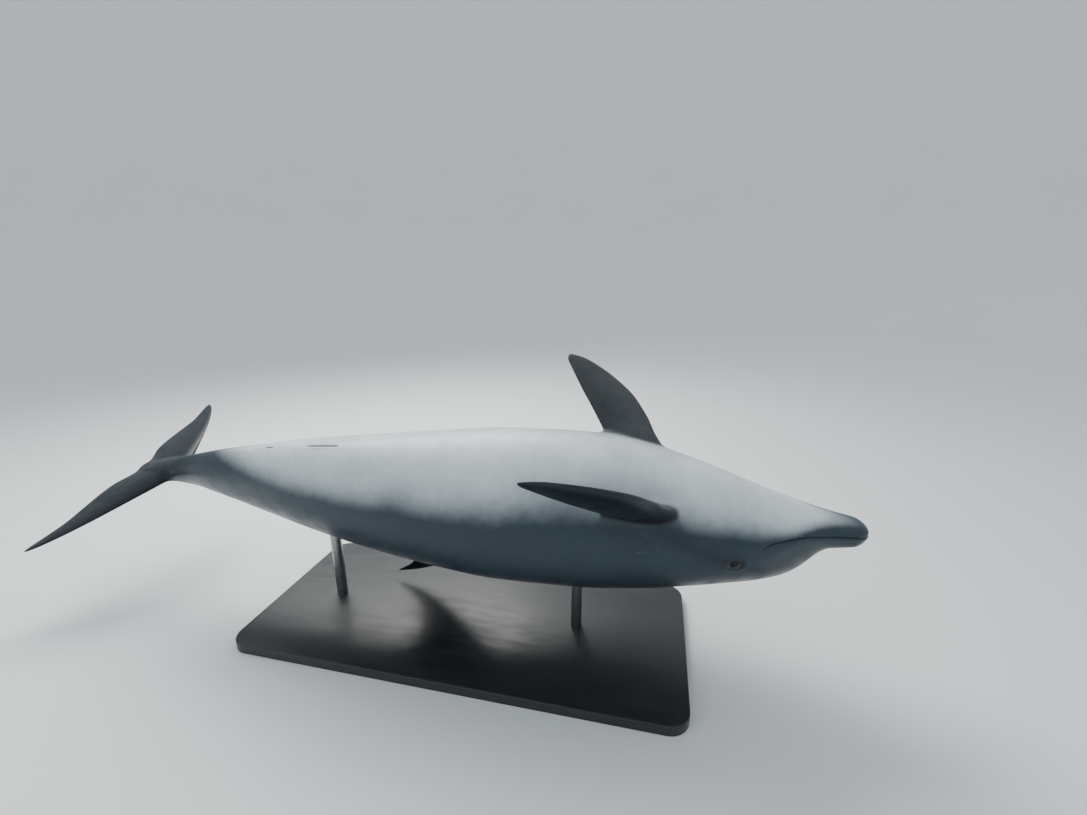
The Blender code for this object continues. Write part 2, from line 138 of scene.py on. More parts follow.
# ---------------- skin: trunk and jaws
# A dolphin's trunk is a smooth spindle of blubber: round at the flippers, pressed flat from
# side to side at the tail stock. The jaws are a second shape that runs back under the melon.
# Each row: station, back, belly, half width, level of the widest line, keel power.
TRUNK = (
    (3.0,   2.2,  -2.2,  1.6,   0.6, 1.00),  # inside the beak
    (4.6,   3.9,  -2.0,  2.6,   0.8, 1.00),  # foot of the melon
    (6.0,   5.2,  -2.2,  3.6,   0.9, 1.00),  # melon front
    (8.5,   6.3,  -2.6,  4.6,   1.0, 1.00),
    (11.0,  7.1,  -3.25,  5.6,   1.0, 1.00),  # corner of the mouth
    (14.0,  7.8,  -4.1,  6.5,   0.9, 1.00),  # eye and blowhole
    (18.0,  8.7,  -5.3,  7.5,   0.8, 1.00),  # neck
    (24.0, 10.0,  -6.8,  8.5,   1.0, 1.00),  # flippers
    (31.0, 11.0,  -7.7,  9.0,   1.4, 1.00),
    (40.0, 11.5,  -7.3,  8.9,   1.8, 1.00),  # greatest girth
    (50.0, 11.2,  -6.1,  7.8,   2.0, 1.02),
    (58.0, 10.6,  -5.2,  6.6,   2.2, 1.06),  # behind the dorsal fin
    (66.0,  9.65, -4.3,  5.3,   2.2, 1.12),
    (74.0,  8.35, -3.1,  3.9,   2.1, 1.22),  # vent, start of the tail stock
    (82.0,  6.25, -2.0,  2.7,   1.8, 1.35),
    (89.0,  4.15, -0.9,  1.8,   1.5, 1.40),  # narrowest
    (94.0,  2.6,  -0.1,  1.9,   1.2, 1.20),  # between the fluke roots
    (97.0,  1.75,  0.3,  1.85,  1.0, 1.00),
    (99.0,  1.15,  0.55, 1.2,   0.85, 1.00),
    (100.0, 0.95,  0.65, 0.9,   0.8, 1.00),  # notch
)
JAWS = (
    (0.0,   1.10, -1.50, 1.50, -0.5, 0.80),
    (2.0,   1.45, -1.70, 1.85, -0.5, 0.80),  # tip of the beak
    (4.5,   1.90, -2.00, 2.40, -0.5, 0.85),  # root of the beak
    (8.0,   2.80, -2.55, 3.70, -0.5, 0.92),
    (12.0,  3.90, -3.40, 5.40, -0.2, 1.00),
    (18.0,  8.70, -5.30, 7.50,  0.8, 1.00),
)
LIPS = (                                # station, section angle of the lips' line
    (0.0,  -20.0),
    (4.0,  -20.0),
    (8.0,  -24.0),
    (10.5, -27.0),
    (12.0, -22.0),  # corner of the mouth
)
SNOUT_ROUNDING = 1.6
TAIL_ROUNDING = 0.7
MELON_FOOT_TOP, MELON_FOOT_SIDE = 3.6, 6.6
MELON_RISE_TOP, MELON_RISE_SIDE = 3.6, 3.2
MELON_FOOT_POWER = 1.5      # how late the foot runs back down the side


def smooth_table(rows, column, at):
    """Monotone cubic (Fritsch and Carlson) through one column of a table of stations."""
    x = np.array([row[0] for row in rows]) / 100
    y = np.array([row[column] for row in rows])
    step = np.diff(x)
    slope = np.diff(y) / step
    tangent = np.zeros(len(x))
    same_way = slope[:-1] * slope[1:] > 0
    before = 2 * step[1:] + step[:-1]
    after = step[1:] + 2 * step[:-1]
    with np.errstate(divide="ignore", invalid="ignore"):
        mean = (before + after) / (before / slope[:-1] + after / slope[1:])
    tangent[1:-1] = np.where(same_way, mean, 0.0)
    tangent[0], tangent[-1] = slope[0], slope[-1]
    at = np.clip(at, x[0], x[-1])
    i = np.clip(np.searchsorted(x, at, side="right") - 1, 0, len(x) - 2)
    t = (at - x[i]) / step[i]
    return (y[i] * (1 + 2 * t) * (1 - t) ** 2 + y[i + 1] * t * t * (3 - 2 * t)
            + step[i] * (tangent[i] * t * (1 - t) ** 2 - tangent[i + 1] * t * t * (1 - t)))


def section(rows, station, angle):
    """Across is the half width times cos to the keel power; up is level plus height by sin."""
    back, belly, half, level, keel = (smooth_table(rows, k, station) for k in range(1, 6))
    cosine, sine = np.cos(angle), np.sin(angle)
    across = half * np.sign(cosine) * np.abs(cosine) ** keel
    up = level + np.where(sine > 0, back - level, level - belly) * sine
    return across, up


def ease(t):
    """Smooth step: 3 t squared less 2 t cubed, held at 0 and 1 outside."""
    t = np.clip(t, 0, 1)
    return t * t * (3 - 2 * t)


def outline(station, angle):
    """Jaw section, passing to the trunk section behind the foot of the melon.

    On top the pass starts at once, which leaves the crease at the melon's foot; down the
    side it eases in.
    """
    jaw_across, jaw_up = section(JAWS, station, angle)
    trunk_across, trunk_up = section(TRUNK, station, angle)
    side = np.clip(1 - np.sin(angle), 0, 1)
    foot = MELON_FOOT_TOP + (MELON_FOOT_SIDE - MELON_FOOT_TOP) * side ** MELON_FOOT_POWER
    rise = np.clip((station * 100 - foot) / (MELON_RISE_TOP + MELON_RISE_SIDE * side), 0, 1)
    mix = rise * (2 - rise) + (ease(rise) - rise * (2 - rise)) * side
    across = jaw_across + (trunk_across - jaw_across) * mix
    up = jaw_up + (trunk_up - jaw_up) * mix
    nose = np.clip(station * 100 / SNOUT_ROUNDING, 0, 1)
    tail = np.clip((100 - station * 100) / TAIL_ROUNDING, 0, 1)
    closing = np.sqrt(1 - (1 - nose) ** 2) * np.sqrt(1 - (1 - tail) ** 2)
    snout_level, notch_level = JAWS[0][4], TRUNK[-1][4]
    middle = np.where(station < 0.5, snout_level, notch_level)
    return across * closing, middle + (up - middle) * closing


def body_point(station, angle):
    """Spine point plus across on the left axis plus up on the back axis."""
    station, angle = np.broadcast_arrays(np.asarray(station, float), np.asarray(angle, float))
    across, up = outline(station, angle)
    point, frame_there = spine_at(station)
    scale = BODY_LENGTH / 100
    return (point + frame_there[..., :, 1] * (across * scale)[..., None]
            + frame_there[..., :, 2] * (up * scale)[..., None])


def body_normal(station, angle):
    """Outward normal: cross product of the surface's two tangents, by small steps."""
    step, turn = 0.0008, 0.01
    station = np.clip(station, step, 1 - step)
    along = body_point(station + step, angle) - body_point(station - step, angle)
    around = body_point(station, angle + turn) - body_point(station, angle - turn)
    normal = np.cross(along, around)
    return normal / np.maximum(np.linalg.norm(normal, axis=-1, keepdims=True), 1e-12)


def stations_by_spacing(zones):
    """Stations from 0 on, spaced evenly inside each zone of (end, spacing), in percent."""
    parts, start = [], 0.0
    for end, spacing in zones:
        count = max(1, round((end - start) / spacing))
        parts.append(start + (end - start) * (np.arange(count) + 1) / count)
        start = end
    return np.concatenate(parts) / 100


COLUMNS = 96
ROWS = stations_by_spacing((        # close rows at the mouth, the eyes and the fins' roots
    (0.8, 0.13), (2.4, 0.18), (17.0, 0.27), (20.3, 0.47), (30.5, 0.60), (40.7, 1.28),
    (57.9, 0.90), (73.0, 1.06), (90.3, 1.24), (97.0, 0.48), (99.4, 0.30), (99.9, 0.125)))
LIP_GATHER = 0.62           # how strongly grid lines gather at the lips
LIP_REACH = 14.0            # degrees
LIP_GATHER_END, LIP_GATHER_FADE = 11.5, 3.5     # where the gathering ends, and over how much


def grid_angles(rows):
    """Even angles, drawn toward the lips' line along the mouth so that it can be cut fine."""
    even = np.arange(COLUMNS) * 360 / COLUMNS
    lip = smooth_table(LIPS, 1, rows)[:, None]
    pull = (LIP_GATHER * (1 - ease((rows * 100 - LIP_GATHER_END) / LIP_GATHER_FADE)))[:, None]
    angles = np.broadcast_to(even, (len(rows), COLUMNS)).copy()
    for line in (lip, 180 - lip):
        off = (even[None, :] - line + 180) % 360 - 180
        angles = angles - pull * off * np.exp(-(off / LIP_REACH) ** 2)
    return np.radians(angles)


grid_s = np.broadcast_to(ROWS[:, None], (len(ROWS), COLUMNS))
grid_a = grid_angles(ROWS)
grid_p = body_point(grid_s, grid_a)
grid_n = body_normal(grid_s, grid_a)

# Lips: the closed mouth is a narrow groove between two soft, rounded rims.
GROOVE_MM, GROOVE_WIDE_MM = 2.4, 2.6
GROOVE_SHADE_FROM = 1 / 60   # station from which the groove has its full painted shade
RIM_MM, RIM_AT_MM, RIM_WIDE_MM = 0.9, 6.0, 4.0
MOUTH_END, MOUTH_FADE = 11.2, 0.9       # where the groove ends, and over how much
lip_angle = np.radians(smooth_table(LIPS, 1, ROWS))
lip_up = outline(ROWS, lip_angle)[1][:, None]
grid_up = outline(grid_s, grid_a)[1]
lip_off = (grid_up - lip_up) * BODY_LENGTH * 10
mouth_fade = 1 - ease((grid_s * 100 - MOUTH_END) / MOUTH_FADE)
groove = np.exp(-(lip_off / GROOVE_WIDE_MM) ** 2) * mouth_fade
rims = np.exp(-((np.abs(lip_off) - RIM_AT_MM) / RIM_WIDE_MM) ** 2) * mouth_fade
grid_p = grid_p + grid_n * ((RIM_MM * rims - GROOVE_MM * groove) / 1000)[..., None]

# ---------------- skin: fins
# Flippers hold an arm's bones, the dorsal fin and flukes are stiff gristle; all are cased
# in the same skin, which runs onto the trunk in a soft fillet.
# Each row: share of the span, leading edge, trailing edge, thickness to chord.
FLIPPER_EDGES = (
    (0.00,  3.5, -2.9, 0.26),
    (0.15,  3.9, -2.4, 0.22),
    (0.35,  3.9, -2.4, 0.18),
    (0.60,  2.9, -2.5, 0.15),
    (0.82,  1.2, -2.5, 0.13),
    (0.94, -0.2, -2.5, 0.12),
    (1.00, -1.3, -2.4, 0.12),
)
DORSAL_EDGES = (
    (0.00,  7.4, -6.6, 0.17),
    (0.15,  5.2, -5.2, 0.15),
    (0.40,  2.2, -4.6, 0.13),
    (0.70, -1.8, -5.6, 0.11),
    (0.90, -5.4, -7.4, 0.10),
    (1.00, -8.1, -8.6, 0.10),
)
FLUKE_EDGES = (
    (0.00,  4.2, -4.1, 0.16),
    (0.12,  3.2, -5.5, 0.135),
    (0.30,  1.6, -5.9, 0.11),
    (0.60, -1.4, -5.9, 0.09),
    (0.85, -4.6, -7.0, 0.09),
    (1.00, -7.0, -8.0, 0.09),
)
# name: edges, station and section angle of the root, span, sweep, tilt, feather, tip curl.
FINS = {
    "flipper_left": (FLIPPER_EDGES, 25.8, -46.8, 16.0, 34.0, -54.0, 10.0, 0.6),
    "flipper_right": (FLIPPER_EDGES, 26.4, 226.8, 16.0, 25.5, -10.0, -5.0, 0.6),
    "dorsal_fin": (DORSAL_EDGES, 49.6, 90.0, 9.2, 0.0, 90.0, 0.0, 0.0),
    "fluke_left": (FLUKE_EDGES, 95.6, 0.0, 13.9, 0.0, 0.0, 0.0, -0.5),
    "fluke_right": (FLUKE_EDGES, 95.6, 180.0, 13.9, 0.0, 0.0, 0.0, -0.5),
}
FLUKE_PITCH = -4.4
FIN_EDGE = 0.0012           # metres added to half the thickness, so that no edge is sharp
TIP_START, TIP_PINCH = 0.93, 0.96   # where a tip rounds in, and by how much


def fin_axes(name):
    """Root point of a fin and its span, chord (toward the leading edge) and face axes."""
    station, angle = FINS[name][1:3]
    sweep, tilt, feather = FINS[name][4:7]
    axes = spine_at(station / 100)[1]
    if name.startswith("fluke"):
        axes = axes @ rotation(1, FLUKE_PITCH)
    mirror = -1 if name.endswith("right") else 1
    sweep, tilt = math.radians(sweep), math.radians(tilt)
    out = axes[:, 1] * mirror * math.cos(tilt) + axes[:, 2] * math.sin(tilt)
    along = out * math.cos(sweep) - axes[:, 0] * math.sin(sweep)
    chord = axes[:, 0] - along * (axes[:, 0] @ along)
    chord = chord / np.linalg.norm(chord)
    face = np.cross(along, chord) * mirror
    turn = math.radians(feather)
    chord, face = (chord * math.cos(turn) + face * math.sin(turn),
                   face * math.cos(turn) - chord * math.sin(turn))
    root = body_point(station / 100, math.radians(angle))
    return root, along, chord, face


def fin_point(name, share, around):
    """Foil section (half thickness by the usual polynomial) set at a share of the span."""
    edges, span, curl = FINS[name][0], FINS[name][3], FINS[name][7]
    root, along, chord, face = fin_axes(name)
    rows = [(100 * row[0],) + row[1:] for row in edges]
    share, around = np.broadcast_arrays(np.asarray(share, float), np.asarray(around, float))
    at = np.clip(share, 0, 1)
    lead, trail, ratio = (smooth_table(rows, k, at) for k in (1, 2, 3))
    pinch = np.sqrt(1 - TIP_PINCH * (np.clip(at - TIP_START, 0, 1) / (1 - TIP_START)) ** 2)
    middle, half = (lead + trail) / 2, (lead - trail) / 2 * pinch
    lead, trail = middle + half, middle - half
    x = (1 - np.cos(around)) / 2
    foil = 5 * (0.2969 * np.sqrt(x) - 0.1260 * x - 0.3516 * x ** 2 + 0.2843 * x ** 3 - 0.1036 * x ** 4)
    scale = BODY_LENGTH / 100
    width = (lead - trail) * scale
    thick = np.sign(np.sin(around)) * (foil * ratio * width + FIN_EDGE * np.abs(np.sin(around)))
    ahead = lead * scale - x * width
    bent = curl * scale * at ** 2
    return (root + along * (share * span * scale)[..., None]
            + chord * ahead[..., None] + face * (thick + bent)[..., None])


# Each opening in the grid, for a fin or a soft feature: first and last station, first and
# last column. Columns count round from the left side, past the back, 96 to a turn.
OPENINGS = {
    "flipper_left": (20.3, 29.9, -17, -9),
    "flipper_right": (20.9, 30.5, 57, 65),
    "dorsal_fin": (40.7, 57.9, 20, 28),
    "fluke_left": (90.3, 99.75, -11, 11),
    "fluke_right": (90.3, 99.75, 37, 59),
    "eye_left": (12.8, 15.6, -5, 3),
    "eye_right": (12.8, 15.6, 45, 53),
    "blowhole": (12.9, 14.9, 21, 27),
    "genital_slit": (59.0, 66.0, 70, 74),
    "vent": (68.6, 72.6, 70, 74),
}


def nearest_row(percent):
    """Index of the grid row nearest to a station in percent."""
    return int(np.argmin(np.abs(ROWS * 100 - percent)))


def opening_cells(name):
    """First and last row, and first and last column, of an opening."""
    start, end, first, last = OPENINGS[name]
    return nearest_row(start), nearest_row(end), first, last


def opening_loop(name):
    """Rows and columns round an opening, from the middle of its front side and back again."""
    top, low, first, last = opening_cells(name)
    middle = (first + last) // 2
    rows = np.concatenate([
        np.full(last - middle, top), np.arange(top, low),
        np.full(last - first, low), np.arange(low, top, -1), np.full(middle - first, top)])
    columns = np.concatenate([
        np.arange(middle, last), np.full(low - top, last),
        np.arange(last, first, -1), np.full(low - top, first), np.arange(first, middle)])
    return rows, columns % COLUMNS


def near_angle(angle, about):
    """The same angle, counted within half a turn of another."""
    return (angle - about + math.pi) % math.tau - math.pi + about


# The stretch of trunk searched each way from a fin's root, in stations and in radians, and
# the stretch of each line along the fin, in shares of its span.
ROOT_REACH, DORSAL_REACH = (0.06, 0.9), (0.11, 0.5)
POLE_CLEAR = 0.002          # stations kept clear at the snout and at the notch
TRUNK_ROWS, TRUNK_COLUMNS = 90, 70
LINE_START, LINE_END, LINE_SAMPLES = -0.25, 0.40, 66


def crossing_shares(name, around):
    """Share of the span, station and angle at which each line along the fin leaves the trunk.

    Lines are sampled from inside the trunk outward; a sample is outside where it lies ahead
    of the nearest surface point along that point's normal.
    """
    station, angle = FINS[name][1:3]
    reach_s, reach_a = DORSAL_REACH if name == "dorsal_fin" else ROOT_REACH
    s = np.clip(np.linspace(-1, 1, TRUNK_ROWS) * reach_s + station / 100, POLE_CLEAR, 1 - POLE_CLEAR)
    a = (np.linspace(-1, 1, TRUNK_COLUMNS) * reach_a + math.radians(angle))[None, :]
    s, a = np.broadcast_arrays(s[:, None], a)
    surface = body_point(s, a).reshape(-1, 3)
    normals = body_normal(s, a).reshape(-1, 3)
    shares = np.linspace(LINE_START, LINE_END, LINE_SAMPLES)
    samples = fin_point(name, shares[None, :], around[:, None])
    flat = samples.reshape(-1, 3)
    square = (flat ** 2).sum(1)[:, None] - 2 * flat @ surface.T + (surface ** 2).sum(1)[None, :]
    near = square.argmin(axis=1)
    height = ((flat - surface[near]) * normals[near]).sum(1).reshape(samples.shape[:2])
    inside_last = LINE_SAMPLES - 1 - np.argmax(height[:, ::-1] <= 0, axis=1)
    i = np.clip(inside_last, 0, LINE_SAMPLES - 2)
    line = np.arange(len(around))
    low, high = height[line, i], height[line, i + 1]
    t = np.clip(-low / np.where(np.abs(high - low) < 1e-9, 1e-9, high - low), 0, 1)
    touched = near.reshape(samples.shape[:2])[line, i]
    return shares[i] + t * (shares[i + 1] - shares[i]), s.ravel()[touched], a.ravel()[touched]


# Share of the chord that the front corners and the rear corners of an opening grow into.
FRONT_CORNER, REAR_CORNER = 0.03, 0.985


def foil_angles(name, loop_s):
    """Angle round the foil for each point of a fin's opening.

    A point down a side goes to the chord's share that matches its station, and the points
    across the front and the rear are spread evenly round the foil's nose and its thin edge.
    """
    top, low, first, last = opening_cells(name)
    half = (last - first) // 2
    corners = np.cumsum([half, low - top, 2 * half, low - top])
    k = np.arange(len(loop_s))
    down = (loop_s - loop_s.min()) / (loop_s.max() - loop_s.min())
    side = np.arccos(1 - 2 * (FRONT_CORNER + (REAR_CORNER - FRONT_CORNER) * down))
    nose, edge = math.acos(1 - 2 * FRONT_CORNER), math.acos(1 - 2 * REAR_CORNER)
    marks = [0, corners[0], corners[1], corners[1] + half, corners[2], corners[3], len(k)]
    angles = np.interp(k, marks, [0, nose, edge, math.pi, math.tau - edge, math.tau - nose, math.tau])
    angles = np.where((k > corners[0]) & (k < corners[1]), side, angles)
    return np.where((k > corners[2]) & (k < corners[3]), math.tau - side, angles)


FILLET = {"flipper": 0.020, "dorsal": 0.022, "fluke": 0.016}    # metres out along the fin
FILLET_RINGS = 5
FILLET_PULL = 0.7           # how near the curve's two handles come to its corner
FIN_RINGS = {"flipper": 18, "dorsal": 14, "fluke": 17}
RING_CROWDING = 1.25        # above 1 crowds the rings toward the tip
FIN_SHADE_START, FIN_SHADE_RUN = 0.30, 0.55     # of the fillet: where the fin's shade comes in


def fin_rings(name):
    """Rings from an opening out to the fin's tip, with station, angle, fin and crease values.

    The first few follow a Bezier curve whose corner is where the fin's own surface leaves
    the trunk, which gives the fillet; the rest lie on the fin.
    """
    kind = name.split("_")[0]
    rows, columns = opening_loop(name)
    loop, loop_s = grid_p[rows, columns], grid_s[rows, columns]
    loop_a = near_angle(grid_a[rows, columns], math.radians(FINS[name][2]))
    count = len(loop)
    face = fin_axes(name)[3]
    side = np.sign((loop[count // 4] - loop[3 * count // 4]) @ face)
    around = side * foil_angles(name, loop_s)
    start, start_s, start_a = crossing_shares(name, around)
    corner = fin_point(name, start, around)
    span = FINS[name][3] * BODY_LENGTH / 100
    base_share = start + FILLET[kind] / span
    base = fin_point(name, base_share, around)
    t = (np.arange(1, FILLET_RINGS + 1) / FILLET_RINGS)[:, None, None]
    near_loop, near_base = (end + (corner - end) * FILLET_PULL for end in (loop, base))
    fillet = (loop * (1 - t) ** 3 + 3 * near_loop * t * (1 - t) ** 2
              + 3 * near_base * t ** 2 * (1 - t) + base * t ** 3)
    steps = np.arange(1, FIN_RINGS[kind] + 1) / FIN_RINGS[kind]
    steps = 1 - (1 - steps) ** RING_CROWDING
    shares = base_share[None, :] + (1 - base_share[None, :]) * steps[:, None]
    outer = fin_point(name, shares, np.broadcast_to(around, shares.shape))
    rings = np.concatenate([fillet, outer])
    onto = np.concatenate([t[:, :, 0], np.ones((len(steps), 1))])
    ring_s = loop_s + (start_s - loop_s) * onto
    ring_a = loop_a + (start_a - loop_a) * onto
    fin = ease((onto - FIN_SHADE_START) / FIN_SHADE_RUN) * np.ones(count)
    return rings, ring_s, ring_a, fin, np.zeros(fin.shape)


# ---------------- skin: eyelids and openings
# Soft features are cut into the skin as rings that close in on an oval or a slit: thick
# hairless lids round each eye, the crescent blowhole, and the two slits of the belly.
EYE_STATION, EYE_ANGLE = 14.2, -3.75
EYE_RADIUS, EYE_PROUD = 0.016, 0.004
LID_HALF_LONG, LID_HALF_HIGH = 0.0125, 0.0070
LID_POINTING = 1.25         # above 1 draws the corners of the opening to points
LID_CLEAR = 0.0004          # the lids stand this far clear of the eyeball
LID_ROUNDING = 0.004        # folds farther out are this much rounder than the opening
LID_ON_BALL = 0.9           # share of the ball's radius out to which its curve is followed
LID_OFF_BALL = 0.7          # lid openings past the rim over which the lids leave the ball
# Folds, with distances in lid openings: height in metres, distance out, width, and how much
# of the height is left at the corners of the eye.
LID_FOLDS = (
    (0.0020, 1.28, 0.24, 0.30),  # roll of the lid
    (-0.0007, 1.85, 0.20, 0.00),  # crease round it
    (0.0014, 2.20, 0.45, 1.00),  # mound that carries both
)
LID_THICKNESS = 0.0012
SOCKET_FLARE, SOCKET_DEPTH = 0.10, 0.006        # share farther from the ball, and metres in
SOCKET_BEHIND, SOCKET_WIDER = 0.002, 1.15       # metres behind the ball, and times the rim
LID_SHARES = np.array([
    0.90, 0.78, 0.67, 0.57, 0.48, 0.40, 0.33, 0.26, 0.20, 0.145, 0.095, 0.05, 0.02, 0.0])
LID_EDGE_SHADE = 0.10             # share over which the painted shade at the lids' edge fades
FEATURE_KEEP = 0.70         # past this share of the way to its loop, a feature's height fades


def param_scale(station, angle):
    """Metres of surface for one unit of station and for one radian of angle."""
    step = 0.002
    along = np.linalg.norm(body_point(station + step, angle) - body_point(station - step, angle))
    around = np.linalg.norm(body_point(station, angle + step) - body_point(station, angle - step))
    return along / (2 * step), around / (2 * step)


def closing_rings(name, station, angle, oval, shares, heights):
    """Rings that pass from an opening's loop (share 1) to a small curve (share 0).

    oval(phi) gives metres ahead and metres to the side of the middle; heights of the same
    two lengths gives metres out of the trunk's surface, and fades out toward the loop.
    """
    rows, columns = opening_loop(name)
    per_station, per_radian = param_scale(station, angle)
    ahead = -(grid_s[rows, columns] - station) * per_station
    aside = (near_angle(grid_a[rows, columns], angle) - angle) * per_radian
    oval_ahead, oval_aside = oval(np.arctan2(aside, ahead))
    share = shares[:, None]
    ring_ahead = oval_ahead * (1 - share) + ahead * share
    ring_aside = oval_aside * (1 - share) + aside * share
    ring_s = station - ring_ahead / per_station
    ring_a = angle + ring_aside / per_radian
    fade = 1 - ease((share - FEATURE_KEEP) / (1 - FEATURE_KEEP))
    lift = heights(ring_ahead, ring_aside) * fade
    rings = body_point(ring_s, ring_a) + body_normal(ring_s, ring_a) * lift[..., None]
    return rings, ring_s, ring_a, ring_ahead, ring_aside


def eye_place(name):
    """Station and angle of an eye, the trunk's point and normal there, and the ball's middle."""
    station = EYE_STATION / 100
    angle = math.radians(180 - EYE_ANGLE if name.endswith("right") else EYE_ANGLE)
    point, normal = body_point(station, angle), body_normal(station, angle)
    return station, angle, point, normal, point - normal * (EYE_RADIUS - EYE_PROUD)


def eye_rings(name):
    """Lids: a soft roll round an oval rim that rests on the eyeball, then turned in behind it.

    Their heights follow how far out a point lies, in lid openings: 1 on the rim. Each fold
    is a bell curve of that distance.
    """
    station, angle, point, normal, middle = eye_place(name)

    def oval(phi):
        high = np.sign(np.sin(phi)) * np.abs(np.sin(phi)) ** LID_POINTING
        return LID_HALF_LONG * np.cos(phi), LID_HALF_HIGH * high

    def heights(ahead, aside):
        out = np.hypot(ahead / (LID_HALF_LONG + LID_ROUNDING), aside / (LID_HALF_HIGH + LID_ROUNDING))
        out = out * (1 + LID_ROUNDING / LID_HALF_HIGH) - LID_ROUNDING / LID_HALF_HIGH
        far = np.hypot(ahead, aside)
        radius = np.minimum(far, EYE_RADIUS * LID_ON_BALL)
        ball = EYE_PROUD - (EYE_RADIUS - np.sqrt(EYE_RADIUS ** 2 - radius ** 2)) + LID_CLEAR
        lift = ball * (1 - ease((out - 1.0) / LID_OFF_BALL))
        upright = np.abs(aside) / np.maximum(far, 1e-6)
        for height, at, width, corners in LID_FOLDS:
            bell = np.exp(-((out - at) / width) ** 2)
            lift = lift + height * bell * (corners + (1 - corners) * upright)
        return lift

    rings, ring_s, ring_a, ahead, aside = closing_rings(
        name, station, angle, oval, LID_SHARES, heights)
    rim = rings[-1]
    back = middle - normal * (EYE_RADIUS + SOCKET_BEHIND)
    inward = np.stack([
        rim - normal * LID_THICKNESS,
        rim + (rim - middle) * SOCKET_FLARE - normal * SOCKET_DEPTH,
        back + (rim - point) * SOCKET_WIDER])
    rings = np.concatenate([rings, inward])
    from_middle = rings - middle
    far = np.linalg.norm(from_middle, axis=-1, keepdims=True)
    rings = middle + from_middle * np.maximum(1, (EYE_RADIUS + LID_CLEAR) / far)
    hidden = len(inward)
    ring_s, ring_a = (
        np.concatenate([values, np.repeat(values[-1:], hidden, axis=0)]) for values in (ring_s, ring_a))
    # Painted shade: darkest at the lids' edge against the eyeball, and full on the rings turned in
    # behind it.
    edge = np.concatenate([np.exp(-(LID_SHARES / LID_EDGE_SHADE) ** 2), np.ones(hidden)])
    crease = np.broadcast_to(edge[:, None], ring_s.shape)
    return rings, ring_s, ring_a, np.zeros(crease.shape), crease


# name: station, angle, half length, half width, bow, set across, rim height, depth
SLITS = {
    "blowhole": (13.9, 90, 0.020, 0.0022, 0.007, True, 0.0016, 0.010),
    "genital_slit": (62.4, -90, 0.055, 0.0014, 0.0, False, 0.0012, 0.006),
    "vent": (70.6, -90, 0.016, 0.0014, 0.0, False, 0.0012, 0.006),
}
SLIT_RIM_AT, SLIT_RIM_WIDE, SLIT_WIDE = 0.006, 0.004, 0.0024
SLIT_RUN_OUT = 1.05         # half lengths from the middle at which the slit has closed
SLIT_RIM_ENDS = 0.3         # share of the rims' height that is left at the slit's ends
SLIT_SHARES = np.array([0.84, 0.68, 0.54, 0.42, 0.32, 0.23, 0.15, 0.08, 0.03, 0.0])


def slit_rings(name):
    """A slit with raised rims; bow curves it, and a slit set across lies square to the body.

    Heights follow the distance from the slit's own line, in metres.
    """
    station, angle, half_long, half_wide, bow, across, rim, depth = SLITS[name]

    def oval(phi):
        if across:
            aside = half_long * np.sin(phi)
            return half_wide * np.cos(phi) + bow * (aside / half_long) ** 2, aside
        return half_long * np.cos(phi), half_wide * np.sin(phi)

    def line_distance(ahead, aside):
        length, off = (aside, ahead - bow * (aside / half_long) ** 2) if across else (ahead, aside)
        beyond = np.maximum(np.abs(length) - half_long, 0)
        return np.hypot(off, beyond)

    def heights(ahead, aside):
        far = line_distance(ahead, aside)
        length = aside if across else ahead
        fade = np.sqrt(np.clip(1 - (length / (half_long * SLIT_RUN_OUT)) ** 2, 0, 1))
        rims = rim * np.exp(-((far - SLIT_RIM_AT) / SLIT_RIM_WIDE) ** 2)
        cut = depth * np.exp(-(far / SLIT_WIDE) ** 2) * fade
        return rims * (SLIT_RIM_ENDS + (1 - SLIT_RIM_ENDS) * fade) - cut

    rings, ring_s, ring_a, ahead, aside = closing_rings(
        name, station / 100, math.radians(angle), oval, SLIT_SHARES, heights)
    # Painted shade along the slit, darkest on its line.
    crease = np.exp(-(line_distance(ahead, aside) / SLIT_WIDE) ** 2)
    return rings, ring_s, ring_a, np.zeros(crease.shape), crease


# ---------------- skin: one closed mesh
# A cast model's skin is moulded in one and painted. Here it is one sheet from the snout to
# the notch, and each of its points keeps where it lies, for the paint to follow.

# Where the pale underside ends: station, and the sine below the side line of its edge.
PALE_EDGE = (
    (0.0,   1.20),  # grey tip of the lower jaw
    (4.5,   0.95),
    (8.5,   0.64),  # under the mouth
    (12.0,  0.70),
    (17.0,  0.71),
    (24.0,  0.80),  # dark round the flippers: the flipper stripe, and painted shadow of the flippers
    (32.0,  0.78),
    (41.0,  0.68),
    (52.0,  0.64),
    (60.0,  0.60),
    (66.0,  0.62),  # it narrows behind the vent
    (73.0,  0.80),
    (80.0,  1.10),
    (86.0,  1.60),  # none on the tail stock
    (100.0, 1.60),
)
# Darker bands of the face: the eye patch, the stripe to the melon's foot and the one to the
# flipper. Each row: station and section angle of its start and of its end, width in metres.
BRIDLE = (
    (14.2, -4.0, 14.2, -4.0, 0.022),
    (14.0, -2.0, 5.0, 42.0, 0.016),
    (14.6, -6.0, 22.5, -34.0, 0.020),
)
BRIDLE_FADE = 0.55          # share of a band's strength lost by its far end
HEAD_WIDTH = 0.13           # of the body length, to turn section angles into lengths


